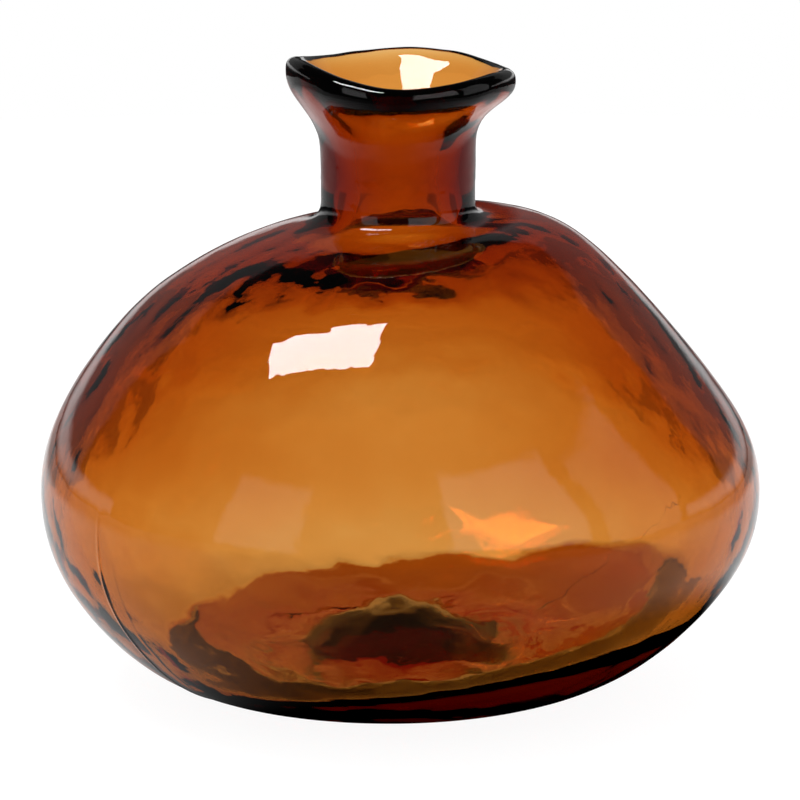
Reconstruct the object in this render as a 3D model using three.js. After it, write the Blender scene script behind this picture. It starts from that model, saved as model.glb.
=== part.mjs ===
// A squat bud vase blown in thick amber glass: a broad, lopsided bowl, a short neck and a rolled, wavy lip.
// One piece of glass. Millimetres, +Z up. It stands on Z = 0, with Z through the middle of width and depth.
import * as THREE from "three";

// Driving dimensions, mm.
const BOWL_WIDTH = 202; // widest, left to right along X
const BOWL_DEPTH = 192; // widest, front to back along Y
const BOWL_HEIGHT = 134; // from the foot to the root of the neck
const NECK_LENGTH = 44; // from the root of the neck to the mean height of the lip
const NECK_DIAMETER = 43; // outside, where the neck is narrowest
const NECK_LEAN = 0.7; // how far the neck stands to the left of the middle of the lip
const LIP_DIAMETER = 64; // outside
const LIP_BAND = 7; // height of the lip's upright outer face, with its rounded edges
const FLARE_HEIGHT = 22; // height in which the neck opens out to the lip
const FOOT_DIAMETER = 76; // outer edge of the flat ring that it stands on
const FOOT_RING = 9; // width of that ring
const PUNT_HEIGHT = 5; // rise of the hollow under the middle
const WALL = 3.6; // glass thickness of the bowl's front and back at its widest
const SIDE_WALL = 4.8; // glass thickness of the bowl's left and right at its widest
const SHOULDER_WALL = 5.5; // glass thickness of the bowl's upper part, at the front and back
const SIDE_SHOULDER_WALL = 7.8; // glass thickness of the bowl's upper part, at the left and right
const ROOT_WALL = 9; // glass thickness at the root of the neck
const NECK_WALL = 10.2; // glass thickness of the neck
const HEEL_WALL = 11; // glass thickness of the base outside the foot
const BASE_THICKNESS = 18; // glass thickness in the middle of the base

// The bowl's outline on its right and left sides, as control points of a smooth curve from the foot up.
// A point is [share of the way out, share of BOWL_HEIGHT]. The way out runs from the foot's edge, or in
// the rising list from the neck, to the widest place. The right shoulder is the higher and flatter one.
const BOWL_OUTLINES = {
  right: {
    spreading: [[0.15, 0.016], [0.41, 0.051], [0.63, 0.118], [0.815, 0.207], [0.965, 0.307], [1.014, 0.416]],
    rising: [[0.985, 0.533], [0.854, 0.648], [0.683, 0.777], [0.503, 0.895], [0.34, 0.984], [0.163, 1.016]],
  },
  left: {
    spreading: [[0.15, 0.016], [0.41, 0.03], [0.62, 0.087], [0.805, 0.172], [0.96, 0.281], [1.018, 0.41]],
    rising: [[0.984, 0.546], [0.845, 0.686], [0.679, 0.81], [0.505, 0.886], [0.325, 0.943], [0.153, 0.978]],
  },
};

// Where the glass thickens. The heel is in shares of the way out from the foot's edge to the bowl's widest
// place, further out on the right. The shoulder and the neck's root are in shares of BOWL_HEIGHT.
const THICKENING = { leftHeel: [0.36, 0.5], rightHeel: [0.7, 0.82], shoulder: [0.45, 0.66], root: [0.86, 1] };

// The flare under the lip, on the right and the left: [share of the way out from neck to lip, share of
// FLARE_HEIGHT below the lip].
const FLARE_OUTLINES = {
  right: [[0, 0.95], [0.12, 0.68], [0.57, 0.475]],
  left: [[0, 0.95], [0.26, 0.7], [0.7, 0.505]],
};

// The funnel in the lip, the same all round: [share of the way out from bore to lip, share of FLARE_HEIGHT
// below the lip].
const FUNNEL_OUTLINE = [[0.62, 0.2], [0.38, 0.42], [0.17, 0.66], [0.04, 0.95]];

// The lip rises and falls around the mouth: [waves round the rim, rise in mm, angle of the first crest].
const LIP_WAVES = [[1, 1.3, 189], [2, 0.75, 11], [3, 1.2, 82]];

// Fineness of the surface.
const SEGMENTS = 48; // round the vase
const STEPS = { bowl: 27, lip: 22, punt: 4 }; // along the outline

const FOOT_RADIUS = FOOT_DIAMETER / 2;
const PUNT_RADIUS = FOOT_RADIUS - FOOT_RING;
const LIP_RADIUS = LIP_DIAMETER / 2;
const LIP_HEIGHT = BOWL_HEIGHT + NECK_LENGTH;
const NECK_MIDDLE = BOWL_HEIGHT + (NECK_LENGTH - FLARE_HEIGHT) / 2; // where bowl and lip curves meet
const TANGENT = 4; // spacing of the control points that set a curve's direction at its ends

const mix = THREE.MathUtils.lerp;

/** A smooth curve (uniform cubic B-spline) drawn by the control points, as steps + 1 points. */
function smoothCurve(controls, steps) {
  const spans = controls.length - 3;
  return Array.from({ length: steps + 1 }, (_, step) => {
    const span = Math.min(Math.floor((step / steps) * spans), spans - 1);
    const t = (step / steps) * spans - span;
    const weights = [(1 - t) ** 3, 3 * t ** 3 - 6 * t ** 2 + 4, -3 * t ** 3 + 3 * t ** 2 + 3 * t + 1, t ** 3];
    const point = new THREE.Vector2();
    weights.forEach((weight, i) => point.addScaledVector(controls[span + i], weight / 6));
    return point;
  });
}

/** Control points between the left and the right list: lean is 0 at the left and 1 at the right. */
function between(left, right, lean, toPoint) {
  return right.map(([out, up], i) => toPoint(mix(left[i][0], out, lean), mix(left[i][1], up, lean)));
}

/** The flat ring and the domed hollow under the vase, from the middle out to the foot's edge. */
function underside() {
  const punt = Array.from({ length: STEPS.punt }, (_, step) => {
    const share = step / STEPS.punt;
    return new THREE.Vector2(share * PUNT_RADIUS, (PUNT_HEIGHT * (1 + Math.cos(share * Math.PI))) / 2);
  });
  return [...punt, new THREE.Vector2(PUNT_RADIUS, 0)];
}

/** The outside of the bowl at one side, from the foot's edge to the middle of the neck. */
function bowlOutline(reach, neckRadius, lean) {
  const { left, right } = BOWL_OUTLINES;
  const point = (from) => (out, up) => new THREE.Vector2(mix(from, reach, out), up * BOWL_HEIGHT);
  return smoothCurve([
    new THREE.Vector2(FOOT_RADIUS - TANGENT, 0),
    new THREE.Vector2(FOOT_RADIUS, 0),
    new THREE.Vector2(FOOT_RADIUS + TANGENT, 0),
    ...between(left.spreading, right.spreading, lean, point(FOOT_RADIUS)),
    ...between(left.rising, right.rising, lean, point(neckRadius)),
    new THREE.Vector2(neckRadius, BOWL_HEIGHT),
    new THREE.Vector2(neckRadius, NECK_MIDDLE - TANGENT),
    new THREE.Vector2(neckRadius, NECK_MIDDLE),
    new THREE.Vector2(neckRadius, NECK_MIDDLE + TANGENT),
  ], STEPS.bowl);
}

/** From the middle of the neck's outside, over the lip, to the middle of its inside. */
function lipOutline(neckRadius, lean) {
  const bore = neckRadius - NECK_WALL;
  const fromLip = (inward, down) => new THREE.Vector2(LIP_RADIUS - inward, LIP_HEIGHT - down);
  const opening = (from) => (out, down) => fromLip((LIP_RADIUS - from) * (1 - out), down * FLARE_HEIGHT);
  return smoothCurve([
    new THREE.Vector2(neckRadius, NECK_MIDDLE - TANGENT),
    new THREE.Vector2(neckRadius, NECK_MIDDLE),
    new THREE.Vector2(neckRadius, NECK_MIDDLE + TANGENT),
    ...between(FLARE_OUTLINES.left, FLARE_OUTLINES.right, lean, opening(neckRadius)),
    fromLip(0.2, LIP_BAND),
    fromLip(0, LIP_BAND / 2),
    fromLip(0.3, LIP_BAND / 5),
    fromLip(2.6, 0),
    fromLip(5.4, LIP_BAND / 6),
    ...FUNNEL_OUTLINE.map(([out, down]) => opening(bore)(out, down)),
    new THREE.Vector2(bore, NECK_MIDDLE + TANGENT),
    new THREE.Vector2(bore, NECK_MIDDLE),
    new THREE.Vector2(bore, NECK_MIDDLE - TANGENT),
  ], STEPS.lip);
}

/** Glass thickness behind a point of the outside, at an angle where the bowl reaches this far out. */
function thicknessAt({ x, y }, angle, reach) {
  const { smoothstep } = THREE.MathUtils;
  const { leftHeel, rightHeel, shoulder, root } = THICKENING;
  const side = Math.cos(angle) ** 2;
  const wall = mix(WALL, SIDE_WALL, side);
  const share = y / BOWL_HEIGHT;
  if (share < shoulder[0]) {
    const lean = (1 + Math.cos(angle)) / 2;
    const [from, to] = leftHeel.map((out, i) => mix(FOOT_RADIUS, reach, mix(out, rightHeel[i], lean)));
    const base = mix(BASE_THICKNESS, HEEL_WALL, smoothstep(x, 0, FOOT_RADIUS));
    return mix(base, wall, smoothstep(x, from, to));
  }
  const upper = mix(SHOULDER_WALL, SIDE_SHOULDER_WALL, side);
  const neck = mix(ROOT_WALL, NECK_WALL, smoothstep(y, BOWL_HEIGHT, NECK_MIDDLE));
  return mix(mix(wall, upper, smoothstep(share, ...shoulder)), neck, smoothstep(share, ...root));
}

/** The inner surface behind an outside outline: each point moved in along the outline's own normal. */
function insideOf(outline, angle, reach) {
  return outline.map((point, i) => {
    if (point.x === 0) return new THREE.Vector2(0, point.y + BASE_THICKNESS);
    const ahead = outline[Math.min(i + 1, outline.length - 1)];
    const behind = outline[Math.max(i - 1, 0)];
    const along = ahead.clone().sub(behind).normalize();
    return new THREE.Vector2(-along.y, along.x).multiplyScalar(thicknessAt(point, angle, reach)).add(point);
  });
}

/** The whole outline at one angle: under the foot, up the outside, over the lip and down the inside. */
function outlineAt(angle) {
  const lean = (1 + Math.cos(angle)) / 2;
  const reach = mix(BOWL_WIDTH, BOWL_DEPTH, Math.sin(angle) ** 2) / 2;
  const neckRadius = NECK_DIAMETER / 2 - NECK_LEAN * Math.cos(angle);
  const outside = [...underside(), ...bowlOutline(reach, neckRadius, lean)];
  const lip = lipOutline(neckRadius, lean).slice(1, -1);
  return [...outside, ...lip, ...insideOf(outside, angle, reach).reverse()];
}

/** How far the lip stands above its mean height at one angle. */
function lipWave(angle) {
  const { degToRad } = THREE.MathUtils;
  const rises = LIP_WAVES.map(([waves, rise, crest]) => rise * Math.cos(waves * (angle - degToRad(crest))));
  return rises.reduce((sum, rise) => sum + rise, 0);
}

/** The vase as one closed lathe surface, each of its outlines then drawn for its own angle. */
function vaseGeometry() {
  const geometry = new THREE.LatheGeometry(outlineAt(0), SEGMENTS);
  const positions = geometry.getAttribute("position");
  const count = positions.count / (SEGMENTS + 1);
  for (let segment = 0; segment <= SEGMENTS; segment += 1) {
    const angle = ((segment % SEGMENTS) / SEGMENTS) * 2 * Math.PI;
    outlineAt(angle).forEach((point, i) => {
      const share = THREE.MathUtils.smoothstep(point.y, LIP_HEIGHT - FLARE_HEIGHT, LIP_HEIGHT);
      const height = point.y + share * lipWave(angle);
      positions.setXYZ(segment * count + i, point.x * Math.cos(angle), point.x * Math.sin(angle), height);
    });
  }
  geometry.computeBoundingBox();
  const middle = geometry.boundingBox.getCenter(new THREE.Vector3());
  return geometry.translate(-middle.x, -middle.y, 0);
}

const amberGlass = new THREE.MeshStandardMaterial({ color: 0xc47a28, roughness: 0.04, metalness: 0 });
const vase = new THREE.Mesh(vaseGeometry(), amberGlass);
vase.name = "vase_body";

const part = new THREE.Group();
part.add(vase);

export default part;
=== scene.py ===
"""A squat bud vase in thick amber glass, blown in a mould and finished by hand, on a plain white floor."""

import math

import bpy
import numpy as np
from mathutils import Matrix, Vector


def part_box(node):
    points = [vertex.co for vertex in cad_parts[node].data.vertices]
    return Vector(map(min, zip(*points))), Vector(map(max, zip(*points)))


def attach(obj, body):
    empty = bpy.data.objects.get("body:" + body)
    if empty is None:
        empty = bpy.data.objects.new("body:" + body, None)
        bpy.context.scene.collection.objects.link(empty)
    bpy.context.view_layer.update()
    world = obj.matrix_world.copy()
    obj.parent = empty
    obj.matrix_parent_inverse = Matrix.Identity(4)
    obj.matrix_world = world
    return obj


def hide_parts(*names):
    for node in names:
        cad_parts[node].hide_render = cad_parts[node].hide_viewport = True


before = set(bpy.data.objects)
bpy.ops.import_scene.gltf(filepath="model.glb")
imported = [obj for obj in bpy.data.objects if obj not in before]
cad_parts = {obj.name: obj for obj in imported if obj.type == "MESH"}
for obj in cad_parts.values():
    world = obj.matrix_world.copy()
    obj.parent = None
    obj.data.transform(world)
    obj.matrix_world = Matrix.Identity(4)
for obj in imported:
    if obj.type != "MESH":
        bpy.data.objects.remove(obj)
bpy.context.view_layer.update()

bl_info = {
    "name": "Amber Glass Bud Vase",
    "version": (1, 0, 0),
    "blender": (4, 5, 0),
    "location": "View3D > Sidebar > Vase",
    "description": "A lopsided blown glass vase with a wavy rolled lip, and a white studio for it",
    "category": "Add Mesh",
}

VASE_NODE = "vase_body"
MM = 0.001
VASE_LOW, VASE_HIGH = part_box(VASE_NODE)

# How finely the mesh is divided: round the vase, under the foot's hollow, up the bowl and over the lip.
ROUND_STEPS = 256
PUNT_STEPS = 18
BOWL_STEPS = 130
LIP_STEPS = 60

# The bowl's outline on its right and left sides, from the foot up, as shares of the way out and of the
# height. The way out starts at the foot's edge where the bowl spreads, and at the neck where it rises.
BOWL_RIGHT = {
    "spreading": (
        (0.15, 0.016),
        (0.41, 0.051),
        (0.63, 0.118),
        (0.815, 0.207),
        (0.965, 0.307),
        (1.014, 0.416),
    ),
    "rising": (
        (0.985, 0.533),
        (0.854, 0.648),
        (0.683, 0.777),
        (0.503, 0.895),
        (0.34, 0.984),
        (0.163, 1.016),
    ),
}
BOWL_LEFT = {
    "spreading": (
        (0.15, 0.016),
        (0.41, 0.03),
        (0.62, 0.087),
        (0.805, 0.172),
        (0.96, 0.281),
        (1.018, 0.41),
    ),
    "rising": (
        (0.984, 0.546),
        (0.845, 0.686),
        (0.679, 0.81),
        (0.505, 0.886),
        (0.325, 0.943),
        (0.153, 0.978),
    ),
}
# The flare under the lip, as shares of the way out from neck to lip and of the flare's height downwards.
FLARE_RIGHT = ((0, 0.95), (0.12, 0.68), (0.57, 0.475))
FLARE_LEFT = ((0, 0.95), (0.26, 0.7), (0.7, 0.505))
# The funnel inside the lip, as shares of the way out from bore to lip and of the flare's height downwards.
FUNNEL = ((0.62, 0.2), (0.38, 0.42), (0.17, 0.66), (0.04, 0.95))
# The rolled lip, from its lower edge over the top: distance in from its widest place, and share of the
# band's height below the top.
LIP_BAND = ((0.2 * MM, 1), (0, 0.5), (0.3 * MM, 0.2), (2.6 * MM, 0), (5.4 * MM, 0.17))
# The lip's rise and fall: (waves round the rim, rise, angle of the first crest in degrees).
LIP_WAVES = ((1, 1.3 * MM, 189), (2, 0.75 * MM, 11), (3, 1.2 * MM, 82))
# How far apart the control points are that make an outline start or end straight.
TANGENT = 4 * MM
# Where the glass thickens. The heel is in shares of the way out from the foot's edge to the bowl's widest
# place, further out on the right. The shoulder and the neck's root are in shares of the bowl's height.
THICKENING = {
    "left_heel": (0.36, 0.5),
    "right_heel": (0.7, 0.82),
    "shoulder": (0.45, 0.66),
    "root": (0.86, 1),
}
# The mould seams: angles from the right, in degrees, how far the ridge stands up, the distance from its
# middle in which it falls to about a third, and the heights between which it was melted away.
SEAM_ANGLES = (214.2, 34.2)
SEAM_RISE = 0.22 * MM
SEAM_WIDTH = 0.55 * MM
SEAM_FADE = (45 * MM, 70 * MM)
# Slow swells of the glass where it was rolled: their height on the outside and on the inside.
OUTER_SWELL = 0.03 * MM
INNER_SWELL = 0.1 * MM
# The folds in the base: height, distance apart, and the distance from the middle over which they die out.
FOLD_RISE = 0.3 * MM
FOLD_GAP = 13 * MM
FOLD_FADE = (30 * MM, 62 * MM)

TABLE_RADIUS = 0.9
# The camera looks at a point in the middle of the vase from the front, from a little above.
CAMERA = {"aim": (-0.0001, 0, 0.0823), "distance": 1.5, "tilt": 13.4, "lens": 240.2}
# The softbox over the table, which faces straight down: place, size, turn in degrees and power.
KEY_SOFTBOX = {"place": (-0.4, -0.21, 1.2), "size": (0.62, 0.3), "turn": -16, "power": 10.2}
# Dim panels that stand round the room, seen only where the glass mirrors them: (azimuths from and to,
# heights from and to, in degrees, brightness). Azimuth 0 is the room's front. The two low ones are the pale
# edge of the table's far end.
ROOM_PANELS = (
    (-57, -30, -3, 36, 0.7),
    (14, 59, 0, 46, 0.85),
    (66, 96, -5, 42, 0.45),
    (125, 178, -5, 36, 0.12),
    (-178, -125, -5, 36, 0.12),
    (100, 178, -3, 3, 0.7),
    (-178, -100, -3, 3, 0.7),
)
# A bright window, seen only by light that has crossed the vase and been thrown back by its far wall.
INNER_GLINT = (-72, -24, 44, 60, 30.0)
# The brightness of the room as the glass lets it through, level and overhead.
ROOM_GLOW = 1.25
OVERHEAD_GLOW = 0.14
# Painted light of the table as the glass lets it through, the table being no lamp: a painted amber shadow
# under the vase, white beside it, brighter far out.
PAINTED_SHADOW_UNDER_VASE = (0.7, 0.06, 0.003)
PAINTED_GLOW_BESIDE_VASE = (0.95, 0.95, 0.95)
PAINTED_GLOW_OPEN_TABLE = (1.3, 1.3, 1.3)


class VaseSizes(bpy.types.PropertyGroup):
    """Sizes of the glass."""

    bowl_height: bpy.props.FloatProperty(
        name="Bowl Height",
        description="From the foot to the root of the neck",
        default=0.134,
        unit="LENGTH",
    )
    neck_length: bpy.props.FloatProperty(
        name="Neck Length",
        description="From the neck's root to the lip",
        default=0.044,
        unit="LENGTH",
    )
    neck_diameter: bpy.props.FloatProperty(
        name="Neck Diameter", description="Outside, at its narrowest", default=0.043, unit="LENGTH"
    )
    neck_lean: bpy.props.FloatProperty(
        name="Neck Lean",
        description="How far the neck stands left of the lip",
        default=0.0007,
        unit="LENGTH",
    )
    lip_diameter: bpy.props.FloatProperty(
        name="Lip Diameter", description="Outside", default=0.064, unit="LENGTH"
    )
    lip_band: bpy.props.FloatProperty(
        name="Lip Band", description="Height of the lip's outer face", default=0.007, unit="LENGTH"
    )
    flare_height: bpy.props.FloatProperty(
        name="Flare Height",
        description="Height in which the neck opens",
        default=0.022,
        unit="LENGTH",
    )
    foot_diameter: bpy.props.FloatProperty(
        name="Foot Diameter",
        description="Outer edge of the flat ring",
        default=0.076,
        unit="LENGTH",
    )
    foot_ring: bpy.props.FloatProperty(
        name="Foot Ring", description="Width of the flat ring", default=0.009, unit="LENGTH"
    )
    punt_height: bpy.props.FloatProperty(
        name="Punt Height",
        description="Rise of the hollow under the base",
        default=0.005,
        unit="LENGTH",
    )
    wall: bpy.props.FloatProperty(
        name="Wall",
        description="Glass thickness of the bowl's front and back",
        default=0.0036,
        unit="LENGTH",
    )
    side_wall: bpy.props.FloatProperty(
        name="Side Wall",
        description="Glass thickness of the bowl's left and right",
        default=0.0048,
        unit="LENGTH",
    )
    shoulder_wall: bpy.props.FloatProperty(
        name="Shoulder Wall",
        description="Glass thickness of the bowl's upper part, at the front and back",
        default=0.0055,
        unit="LENGTH",
    )
    side_shoulder_wall: bpy.props.FloatProperty(
        name="Side Shoulder Wall",
        description="Glass thickness of the bowl's upper part, at the left and right",
        default=0.0078,
        unit="LENGTH",
    )
    root_wall: bpy.props.FloatProperty(
        name="Root Wall",
        description="Glass thickness at the neck's root",
        default=0.009,
        unit="LENGTH",
    )
    neck_wall: bpy.props.FloatProperty(
        name="Neck Wall", description="Glass thickness of the neck", default=0.0102, unit="LENGTH"
    )
    heel_wall: bpy.props.FloatProperty(
        name="Heel Wall",
        description="Glass thickness above the foot's edge",
        default=0.011,
        unit="LENGTH",
    )
    base_wall: bpy.props.FloatProperty(
        name="Base Thickness",
        description="Glass thickness in the middle of the base",
        default=0.018,
        unit="LENGTH",
    )
    ripple: bpy.props.FloatProperty(
        name="Ripple",
        description="Depth of the ripples on the outside",
        default=0.000025,
        unit="LENGTH",
    )
    inner_ripple: bpy.props.FloatProperty(
        name="Inner Ripple",
        description="Depth of the ripples on the inside",
        default=0.00008,
        unit="LENGTH",
    )


class GlassLook(bpy.types.PropertyGroup):
    """Colour and finish of the glass."""

    colour: bpy.props.FloatVectorProperty(
        name="Colour",
        description="What is left of white light in thick glass",
        subtype="COLOR",
        size=3,
        default=(0.833, 0.578, 0.089),
    )
    density: bpy.props.FloatProperty(
        name="Density", description="Strength of the colour, per metre", default=450.0
    )
    ior: bpy.props.FloatProperty(name="IOR", description="Refraction of the glass", default=1.5)


# ------------------------------------------------------------------ outlines


def spline(controls, steps):
    """Uniform cubic B-spline of (points, angles, 2) controls. Each point is the blend of four neighbouring
    controls by the weights (1-t)^3, 3t^3-6t^2+4, -3t^3+3t^2+3t+1 and t^3, all over 6."""
    place = np.linspace(0, len(controls) - 3, steps + 1)
    span = np.minimum(place.astype(int), len(controls) - 4)
    t = (place - span)[:, None, None]
    weights = ((1 - t) ** 3, 3 * t**3 - 6 * t**2 + 4, -3 * t**3 + 3 * t**2 + 3 * t + 1, t**3)
    return sum(weight / 6 * controls[span + i] for i, weight in enumerate(weights))


def smoothstep(values, low, high):
    """0 below low, 1 above high, and 3s^2-2s^3 between them."""
    share = np.clip((values - low) / (high - low), 0, 1)
    return share * share * (3 - 2 * share)


def between(left, right, lean):
    """Controls from the left ones at lean 0 to the right ones at lean 1, as (points, angles, 2)."""
    left, right = np.array(left, float)[:, None], np.array(right, float)[:, None]
    return left + (right - left) * lean[None, :, None]


def column(radii, height):
    """One control point for every angle, at the given radii and one height."""
    return np.stack(np.broadcast_arrays(radii, height), -1)


def straight_rise(radii, height, way=1):
    """Three controls one above the other, or below with way -1, which keep an outline upright there."""
    return [column(radii, height + way * step) for step in (-TANGENT, 0, TANGENT)]


def mix(low, high, share):
    """From low at share 0 to high at share 1."""
    return low + (high - low) * share


def thickness_behind(sizes, radius, height, angles, reach):
    """Glass thickness behind the outside, by smooth steps. The base thins out to the heel and, past it, to
    the wall. Above, the wall thickens to the shoulder and, near the top of the bowl, to the neck. The wall
    and the shoulder are thicker towards the left and right, by the square of the angle's cosine."""
    side = np.cos(angles) ** 2
    wall = mix(sizes.wall, sizes.side_wall, side)
    share = height / sizes.bowl_height
    foot = sizes.foot_diameter / 2
    neck_middle = sizes.bowl_height + (sizes.neck_length - sizes.flare_height) / 2

    lean = (1 + np.cos(angles)) / 2
    heel_from, heel_to = (
        mix(foot, reach, mix(left, right, lean))
        for left, right in zip(THICKENING["left_heel"], THICKENING["right_heel"])
    )
    base = mix(sizes.base_wall, sizes.heel_wall, smoothstep(radius, 0, foot))
    lower = mix(base, wall, smoothstep(radius, heel_from, heel_to))

    shoulder = mix(sizes.shoulder_wall, sizes.side_shoulder_wall, side)
    neck = mix(sizes.root_wall, sizes.neck_wall, smoothstep(height, sizes.bowl_height, neck_middle))
    bowl = mix(wall, shoulder, smoothstep(share, *THICKENING["shoulder"]))
    upper = mix(bowl, neck, smoothstep(share, *THICKENING["root"]))
    return np.where(share < THICKENING["shoulder"][0], lower, upper)


def outlines(sizes, angles):
    """The vase's closed outline at each angle, as (points, angles, 2) of radius and height, and how many of
    its points are outside. It runs under the foot, up the outside, over the lip and down the inside. The
    inside is the outside moved in along its own normal by the glass thickness."""
    lean = (1 + np.cos(angles)) / 2
    width, depth = VASE_HIGH.x - VASE_LOW.x, VASE_HIGH.y - VASE_LOW.y
    reach = (width + (depth - width) * np.sin(angles) ** 2) / 2
    neck = sizes.neck_diameter / 2 - sizes.neck_lean * np.cos(angles)
    bore = neck - sizes.neck_wall
    foot, lip = sizes.foot_diameter / 2, sizes.lip_diameter / 2
    lip_height = sizes.bowl_height + sizes.neck_length
    neck_middle = sizes.bowl_height + (sizes.neck_length - sizes.flare_height) / 2
    flat = np.ones_like(angles)

    punt = foot - sizes.foot_ring
    share = np.linspace(0, 1, PUNT_STEPS, endpoint=False)
    dome = np.stack([share * punt, sizes.punt_height * (1 + np.cos(share * np.pi)) / 2], -1)
    ring = column(np.linspace(punt, foot, 4, endpoint=False), 0)
    underside = np.repeat(np.concatenate([dome, ring])[:, None], len(angles), 1)

    def on_bowl(points, start):
        out, up = points[..., 0], points[..., 1]
        return np.stack([start + (reach - start) * out, up * sizes.bowl_height], -1)

    def on_flare(points, start):
        out, down = points[..., 0], points[..., 1]
        return np.stack([start + (lip - start) * out, lip_height - down * sizes.flare_height], -1)

    bowl = spline(
        np.concatenate(
            [
                [column(flat * (foot + step), 0) for step in (-TANGENT, 0, TANGENT)],
                on_bowl(between(BOWL_LEFT["spreading"], BOWL_RIGHT["spreading"], lean), foot),
                on_bowl(between(BOWL_LEFT["rising"], BOWL_RIGHT["rising"], lean), neck),
                [column(neck, sizes.bowl_height)],
                straight_rise(neck, neck_middle),
            ]
        ),
        BOWL_STEPS,
    )
    band = [column(flat * (lip - inward), lip_height - down * sizes.lip_band) for inward, down in LIP_BAND]
    rim = spline(
        np.concatenate(
            [
                straight_rise(neck, neck_middle),
                on_flare(between(FLARE_LEFT, FLARE_RIGHT, lean), neck),
                band,
                on_flare(between(FUNNEL, FUNNEL, lean), bore),
                straight_rise(bore, neck_middle, -1),
            ]
        ),
        LIP_STEPS,
    )
    outside = np.concatenate([underside, bowl])
    along = np.gradient(outside, axis=0)
    along /= np.linalg.norm(along, axis=-1, keepdims=True)
    radius, height = outside[..., 0], outside[..., 1]
    thickness = thickness_behind(sizes, radius, height, angles, reach)
    inside = outside + thickness[..., None] * np.stack([-along[..., 1], along[..., 0]], -1)
    inside[0] = outside[0] + np.array([0, sizes.base_wall])
    whole = np.concatenate([outside, rim[1:-1], inside[::-1]])

    wave = sum(rise * np.cos(waves * (angles - math.radians(crest))) for waves, rise, crest in LIP_WAVES)
    whole[..., 1] += smoothstep(whole[..., 1], lip_height - sizes.flare_height, lip_height) * wave
    return whole, len(outside)


def wander(points, length, seed, stretch=1.0, waves=28):
    """Smooth random unevenness from -1 to 1 or so: the sum of plane cosine waves of about one length, in
    random directions and phases. stretch above 1 makes the waves longer across than up."""
    random = np.random.default_rng(seed)
    directions = random.normal(size=(waves, 3))
    directions /= np.linalg.norm(directions, axis=1, keepdims=True)
    directions *= (2 * np.pi / length) * random.uniform(0.7, 1.4, (waves, 1))
    directions[:, 2] *= stretch
    phases = random.uniform(0, 2 * np.pi, waves)
    total = sum(np.cos(points @ direction + phase) for direction, phase in zip(directions, phases))
    return total * math.sqrt(2 / waves) / 1.6


def ring_folds(points, radius):
    """Folds from -1 to 1 that run round the middle of the base, with a crease between them: 1-2|sin| of the
    distance from the middle, pushed in and out by two unevennesses so that the rings wander."""
    pushed = radius + 5 * MM * wander(points, 40 * MM, 12) + 1.5 * MM * wander(points, 16 * MM, 13)
    return 1 - 2 * np.abs(np.sin(np.pi * pushed / FOLD_GAP))


def angles_round(seams):
    """Angles of the mesh's columns: even ones round the vase, and extra ones close to each mould seam, so
    that its narrow ridge has faces of its own."""
    near = np.radians((0.25, 0.5, 0.8, 1.2))
    close = (seams[:, None] + np.concatenate([-near, [0], near])).ravel()
    even = np.linspace(0, 2 * np.pi, ROUND_STEPS, endpoint=False)
    clear = np.abs(even[:, None] - seams).min(1) > near[-1] * 1.3
    return np.sort(np.concatenate([even[clear], close]))


def relief_on(sizes, points, radius, off_seam, outer):
    """How far each point moves out along its normal. Both faces have ripples and slow swells, which the
    outside loses at the foot and mostly under the lip. The inside has the folds in the base. The outside has
    a ridge at each mould seam, by exp(-d^2) of the distance d from it. The two poles stay where they are."""
    height = points[..., 2]
    lip_height = sizes.bowl_height + sizes.neck_length
    calm = smoothstep(height, 0.5 * MM, 14 * MM)
    calm *= 1 - 0.7 * smoothstep(height, lip_height - 20 * MM, lip_height)
    hammered = wander(points, 13 * MM, 3, 1.5) + 0.5 * wander(points, 7.5 * MM, 4, 1.5)
    rolled = wander(points, 38 * MM, 5, 1.6)
    inner_hammered = wander(points, 15 * MM, 6, 1.5) + 0.5 * wander(points, 8.5 * MM, 7, 1.5)
    inner_rolled = wander(points, 42 * MM, 8, 1.5)
    in_base = (1 - smoothstep(radius, *FOLD_FADE)) * (height < 50 * MM)
    poured = ring_folds(points, radius) * in_base
    relief = np.where(
        outer,
        calm * (sizes.ripple * hammered + OUTER_SWELL * rolled),
        sizes.inner_ripple * inner_hammered + INNER_SWELL * inner_rolled + FOLD_RISE * poured,
    )
    ridge = SEAM_RISE * np.exp(-((off_seam / SEAM_WIDTH) ** 2)) * (1 - smoothstep(height, *SEAM_FADE))
    relief += np.where(outer & (height > 4 * MM) & (radius > 30 * MM), ridge, 0)
    relief[[0, -1]] = 0
    return relief


def grid_normals(points):
    """Outward normals of a closed (rows, angles, 3) surface: the cross product of its two directions."""
    round_it = np.roll(points, -1, 1) - np.roll(points, 1, 1)
    along = np.gradient(points, axis=0)
    normals = np.cross(round_it, along)
    lengths = np.linalg.norm(normals, axis=-1, keepdims=True)
    return normals / np.maximum(lengths, 1e-12)


def closed_mesh(name, points):
    """A closed mesh from a (rows, angles, 3) grid whose first and last rows are each one point."""
    rows, count = points.shape[:2]
    first, last = 0, 1 + (rows - 2) * count
    vertices = np.concatenate([points[0, :1], points[1:-1].reshape(-1, 3), points[-1, :1]])
    here = 1 + np.arange(count)
    beside = 1 + (np.arange(count) + 1) % count
    lift = np.arange(rows - 3)[:, None] * count
    corners = (here + lift, beside + lift, beside + lift + count, here + lift + count)
    quads = np.stack(corners, -1).reshape(-1, 4)
    top = (rows - 3) * count
    start = np.stack([np.full(count, first), beside, here], -1)
    end = np.stack([here + top, beside + top, np.full(count, last)], -1)
    mesh = bpy.data.meshes.new(name)
    mesh.from_pydata(vertices.tolist(), [], start.tolist() + quads.tolist() + end.tolist())
    mesh.shade_smooth()
    return mesh


# ------------------------------------------------------------------ shaders


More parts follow.
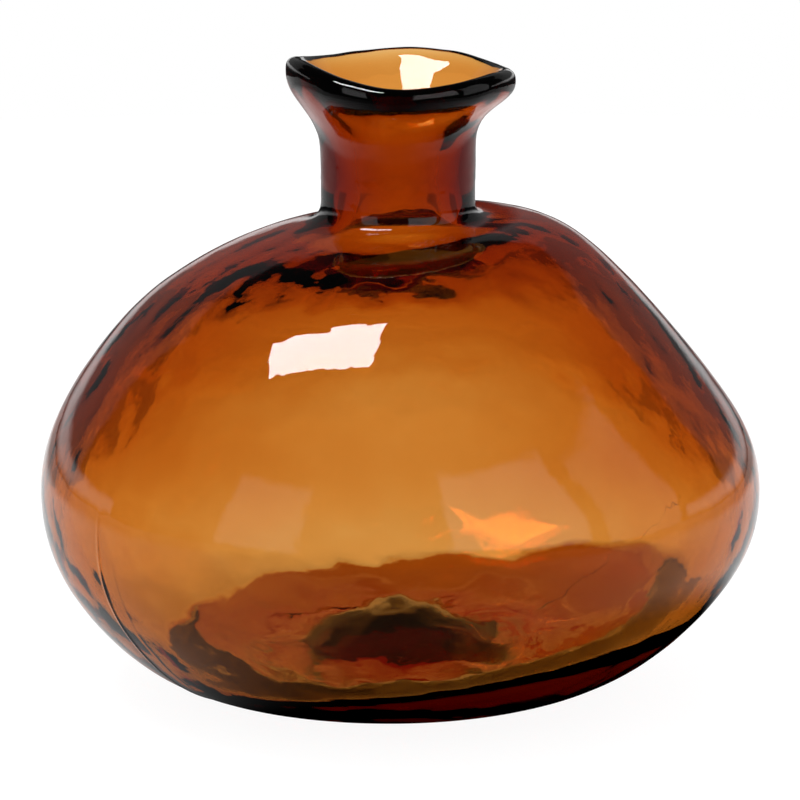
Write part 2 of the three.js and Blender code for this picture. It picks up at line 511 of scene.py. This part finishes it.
class Socket:
    """A node's output that sums, multiplies and so on as numbers do, by adding Math nodes."""

    def __init__(self, tree, output):
        self.tree, self.output = tree, output

    def math(self, operation, *values):
        return self.tree.node("ShaderNodeMath", {"operation": operation}, dict(enumerate(values)))

    def __add__(self, other):
        return self.math("ADD", self, other)

    def __sub__(self, other):
        return self.math("SUBTRACT", self, other)

    def __rsub__(self, other):
        return self.math("SUBTRACT", other, self)

    def __mul__(self, other):
        return self.math("MULTIPLY", self, other)

    def __truediv__(self, other):
        return self.math("DIVIDE", self, other)

    def __rtruediv__(self, other):
        return self.math("DIVIDE", other, self)

    __radd__ = __add__
    __rmul__ = __mul__


class NodeTree:
    """A material's or world's nodes, added one call at a time."""

    def __init__(self, owner):
        owner.use_nodes = True
        self.nodes, self.links = owner.node_tree.nodes, owner.node_tree.links
        self.nodes.clear()

    def add(self, kind, settings=None, inputs=None):
        """A node of the given type, its settings set first and then its sockets' values or links."""
        made = self.nodes.new(kind)
        for key, value in (settings or {}).items():
            setattr(made, key, value)
        for key, value in (inputs or {}).items():
            if isinstance(value, Socket):
                self.links.new(value.output, made.inputs[key])
            else:
                made.inputs[key].default_value = value
        return made

    def node(self, kind, settings=None, inputs=None, output=0):
        return Socket(self, self.add(kind, settings, inputs).outputs[output])

    def colour_mix(self, share, low, high):
        """From colour low at share 0 to colour high at share 1."""
        ends = [end if isinstance(end, Socket) else (*end, 1) for end in (low, high)]
        settings = {"data_type": "RGBA", "clamp_result": False}
        return self.node("ShaderNodeMix", settings, {0: share, 6: ends[0], 7: ends[1]}, output=2)

    def step(self, value, low, high):
        """0 below low, 1 above high, and smooth between them."""
        settings = {"interpolation_type": "SMOOTHSTEP"}
        return self.node("ShaderNodeMapRange", settings, {0: value, 1: low, 2: high})


def glass_material(look):
    """Clear glass with the amber in its depth, faintly uneven where it was fire-polished and handled."""
    material = bpy.data.materials.new("amber_glass")
    tree = NodeTree(material)
    place = tree.node("ShaderNodeTexCoord", output="Object")
    fine = tree.node("ShaderNodeTexNoise", inputs={"Vector": place, "Scale": 260.0, "Detail": 1.0})
    bump = tree.node("ShaderNodeBump", inputs={"Strength": 0.35, "Distance": 0.1 * MM, "Height": fine})
    film = tree.node("ShaderNodeTexNoise", inputs={"Vector": place, "Scale": 34.0, "Detail": 3.0})
    glass = tree.add(
        "ShaderNodeBsdfPrincipled",
        inputs={
            "Base Color": (1, 1, 1, 1),
            "Roughness": film * 0.02,
            "IOR": look.ior,
            "Transmission Weight": 1.0,
            "Normal": bump,
        },
    )
    depth = tree.add(
        "ShaderNodeVolumeAbsorption", inputs={"Color": (*look.colour, 1), "Density": look.density}
    )
    output = tree.add("ShaderNodeOutputMaterial")
    tree.links.new(glass.outputs["BSDF"], output.inputs["Surface"])
    tree.links.new(depth.outputs["Volume"], output.inputs["Volume"])
    return material


def ray_kinds(tree):
    """1 or 0 for each kind of ray: seen by the camera, mirrored by glass, passed through glass."""
    path = tree.add("ShaderNodeLightPath")
    names = ("Is Camera Ray", "Is Diffuse Ray", "Is Reflection Ray", "Is Transmission Ray")
    camera, diffuse, reflected, passed = (Socket(tree, path.outputs[name]) for name in names)
    return camera, reflected * (1 - diffuse), passed


def faces_crossed(tree):
    """How many faces of the glass the light has passed through."""
    return tree.node("ShaderNodeLightPath", output="Transmission Depth")


def painted_dimming_share(tree, north):
    """The share of a glow that is kept by painted dimming. It is a fifth for a glow in the front of the room
    that has crossed the near wall only, so that the inside of that wall mirrors a painted dim room, and 1
    for all others."""
    near_wall_only = 1 - tree.step(faces_crossed(tree), 2.2, 2.4)
    in_front = 1 - tree.step(north, -0.1, 0.0)
    return 1 - near_wall_only * in_front * 0.8


def floor_material():
    """White card. The camera sees it lit, and lifted so that only a faint shadow shows. What the glass
    mirrors is a painted glow, with painted shade that falls off towards the vase and the front. What it lets
    through is painted light: a painted amber shadow under the vase and white round it."""
    material = bpy.data.materials.new("white_floor")
    tree = NodeTree(material)
    camera, mirrored, passed = ray_kinds(tree)
    in_glass = mirrored + passed
    place = tree.add("ShaderNodeSeparateXYZ", inputs={0: tree.node("ShaderNodeTexCoord", output="Object")})
    east, north = (Socket(tree, place.outputs[axis]) for axis in "XY")
    away = east.math("SQRT", east * east + north * north)

    # Painted shade on the mirrored table: a painted shadow round the vase, a little wider on its right,
    # painted dimming far out, and darker towards the front.
    shadow = tree.step(away - east / away * 0.03, 0.075, 0.12)
    painted_far_dimming = 1 - tree.step(away, 0.35, 0.55) * 0.6
    mirrored = mirrored * (0.56 + north / away * 0.52) * shadow * painted_far_dimming
    # Painted light as the glass lets the table through: a painted amber shadow under the vase, white beside
    # it and brighter far out.
    painted_glow_through_glass = tree.colour_mix(tree.step(away, 0.045, 0.08), PAINTED_SHADOW_UNDER_VASE, PAINTED_GLOW_BESIDE_VASE)
    painted_glow_through_glass = tree.colour_mix(tree.step(away, 0.08, 0.16), painted_glow_through_glass, PAINTED_GLOW_OPEN_TABLE)

    matt = tree.node("ShaderNodeBsdfDiffuse", inputs={"Color": 0.8 - camera * 0.68})
    lift = tree.node("ShaderNodeEmission", inputs={"Strength": camera * 0.93})
    card = tree.node("ShaderNodeAddShader", inputs={0: matt, 1: lift})
    # The table's painted glow is cut to a fifth by painted dimming where it crossed the near wall only from
    # the front.
    strength = passed * painted_dimming_share(tree, north)
    seen_through = tree.node("ShaderNodeEmission", inputs={"Color": painted_glow_through_glass, "Strength": strength})
    seen_mirrored = tree.node("ShaderNodeEmission", inputs={"Strength": mirrored})
    glow = tree.node("ShaderNodeAddShader", inputs={0: seen_through, 1: seen_mirrored})
    both = tree.node("ShaderNodeMixShader", inputs={0: in_glass, 1: card, 2: glow})
    tree.add("ShaderNodeOutputMaterial", inputs={"Surface": both})
    return material


def studio_world():
    """The room round the table: white to look at, bright near the horizon for light that comes through the
    glass, and dark with dim panels above the horizon for what the glass mirrors."""
    world = bpy.data.worlds.new("studio")
    tree = NodeTree(world)
    direction = tree.node("ShaderNodeTexCoord", output="Generated")
    split = tree.add("ShaderNodeSeparateXYZ", inputs={"Vector": direction})
    east, north, up = (Socket(tree, split.outputs[axis]) for axis in "XYZ")
    height = up.math("ARCSINE", up) * (180 / math.pi)
    around = up.math("ARCTAN2", east, north * -1) * (180 / math.pi)

    def panel(low, high, bottom, top, brightness):
        across = tree.step(around, low - 1.5, low + 1.5) * (1 - tree.step(around, high - 1.5, high + 1.5))
        upright = tree.step(height, bottom - 2, bottom + 2) * (1 - tree.step(height, top - 2, top + 2))
        return across * upright * brightness

    mirrored = sum((panel(*each) for each in ROOM_PANELS), 0.02)
    # Two grey flags stand behind the vase, one on each side of straight back, and darken its edges.
    off_back = 180 - around.math("ABSOLUTE", around)
    flags = tree.step(off_back, 11, 14) * (1 - tree.step(off_back, 36, 42)) * tree.step(height, -4, -1)
    glint = panel(*INNER_GLINT) * tree.step(faces_crossed(tree), 3.2, 3.4)
    through = (ROOM_GLOW - flags * 0.72) * (1 - tree.step(height, 38, 55)) * painted_dimming_share(tree, north)
    through = through + OVERHEAD_GLOW + glint

    camera, mirror, passed = ray_kinds(tree)
    light = ROOM_GLOW + passed * (through - ROOM_GLOW)
    light = light + mirror * (mirrored - light)
    light = light + camera * (1 - light)
    back = tree.node("ShaderNodeBackground", inputs={"Color": (1, 1, 1, 1), "Strength": light})
    tree.add("ShaderNodeOutputWorld", inputs={"Surface": back})
    return world


# ------------------------------------------------------------------ operators


class OBJECT_OT_vase_glass(bpy.types.Operator):
    """Makes the vase as one closed shell of glass, rippled on both faces, with its two mould seams"""

    bl_idname = "object.vase_glass"
    bl_label = "Vase Glass"

    def execute(self, context):
        sizes, look = context.scene.vase_sizes, context.scene.vase_look
        seams = np.radians(SEAM_ANGLES)
        angles = angles_round(seams)
        outline, outer_rows = outlines(sizes, angles)
        radius, height = outline[..., 0], outline[..., 1]
        points = np.stack([radius * np.cos(angles), radius * np.sin(angles), height], -1)
        middle = (points.reshape(-1, 3).max(0) + points.reshape(-1, 3).min(0)) / 2
        centre = (VASE_LOW + VASE_HIGH) / 2
        points[..., :2] += np.array(centre.xy) - middle[:2]

        outer = np.arange(len(points))[:, None] < outer_rows
        off_seam = np.abs(angles[:, None] - seams).min(1) * radius
        relief = relief_on(sizes, points, radius, off_seam, outer)
        points += grid_normals(points) * relief[..., None]
        points[..., 2] = np.maximum(points[..., 2], VASE_LOW.z)

        mesh = closed_mesh("vase_glass", points)
        mesh.materials.append(glass_material(look))
        vase = bpy.data.objects.new("vase_glass", mesh)
        context.scene.collection.objects.link(vase)
        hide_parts(VASE_NODE)
        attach(vase, "root")
        return {"FINISHED"}


class OBJECT_OT_vase_stage(bpy.types.Operator):
    """Makes the white floor, the surroundings, the softbox and the camera"""

    bl_idname = "object.vase_stage"
    bl_label = "Studio"

    def execute(self, context):
        scene = context.scene
        corners = np.linspace(0, 2 * np.pi, 96, endpoint=False)
        rim = np.stack([TABLE_RADIUS * np.cos(corners), TABLE_RADIUS * np.sin(corners), np.zeros(96)], -1)
        mesh = bpy.data.meshes.new("table")
        mesh.from_pydata(rim.tolist(), [], [tuple(range(96))])
        mesh.materials.append(floor_material())
        floor = bpy.data.objects.new("table", mesh)
        scene.collection.objects.link(floor)
        scene.world = studio_world()

        light = bpy.data.lights.new("key_softbox", "AREA")
        light.shape, light.energy = "RECTANGLE", KEY_SOFTBOX["power"]
        light.size, light.size_y = KEY_SOFTBOX["size"]
        lamp = bpy.data.objects.new("key_softbox", light)
        lamp.location = KEY_SOFTBOX["place"]
        lamp.rotation_euler = (0, 0, math.radians(KEY_SOFTBOX["turn"]))
        lamp.visible_camera = lamp.visible_transmission = False
        scene.collection.objects.link(lamp)

        tilt = math.radians(CAMERA["tilt"])
        back = Vector((0, -math.cos(tilt), math.sin(tilt)))
        camera = bpy.data.objects.new("camera", bpy.data.cameras.new("camera"))
        camera.location = Vector(CAMERA["aim"]) + CAMERA["distance"] * back
        camera.rotation_euler = (math.pi / 2 - tilt, 0, 0)
        camera.data.sensor_width = 36
        camera.data.lens = CAMERA["lens"]
        camera.data.clip_start, camera.data.clip_end = 0.05, 100
        scene.collection.objects.link(camera)
        scene.camera = camera

        scene.view_settings.view_transform = "Standard"
        scene.cycles.max_bounces = 24
        scene.cycles.transmission_bounces = 24
        scene.cycles.glossy_bounces = 8
        scene.cycles.caustics_refractive = True
        scene.cycles.caustics_reflective = True
        scene.cycles.sample_clamp_indirect = 6.0
        return {"FINISHED"}


class VIEW3D_PT_vase(bpy.types.Panel):
    """Lists the vase's sizes and glass look, and a button for each operator"""

    bl_label = "Amber Glass Vase"
    bl_space_type = "VIEW_3D"
    bl_region_type = "UI"
    bl_category = "Vase"

    def draw(self, context):
        for group in (context.scene.vase_sizes, context.scene.vase_look):
            for name in group.__annotations__:
                self.layout.prop(group, name)
        for operator in (OBJECT_OT_vase_glass, OBJECT_OT_vase_stage):
            self.layout.operator(operator.bl_idname)


CLASSES = (VaseSizes, GlassLook, OBJECT_OT_vase_glass, OBJECT_OT_vase_stage, VIEW3D_PT_vase)


def register():
    for each in CLASSES:
        bpy.utils.register_class(each)
    bpy.types.Scene.vase_sizes = bpy.props.PointerProperty(type=VaseSizes)
    bpy.types.Scene.vase_look = bpy.props.PointerProperty(type=GlassLook)


def unregister():
    del bpy.types.Scene.vase_look
    del bpy.types.Scene.vase_sizes
    for each in reversed(CLASSES):
        bpy.utils.unregister_class(each)


def main():
    register()
    bpy.ops.object.vase_stage()
    bpy.ops.object.vase_glass()


if __name__ == "__main__":
    main()
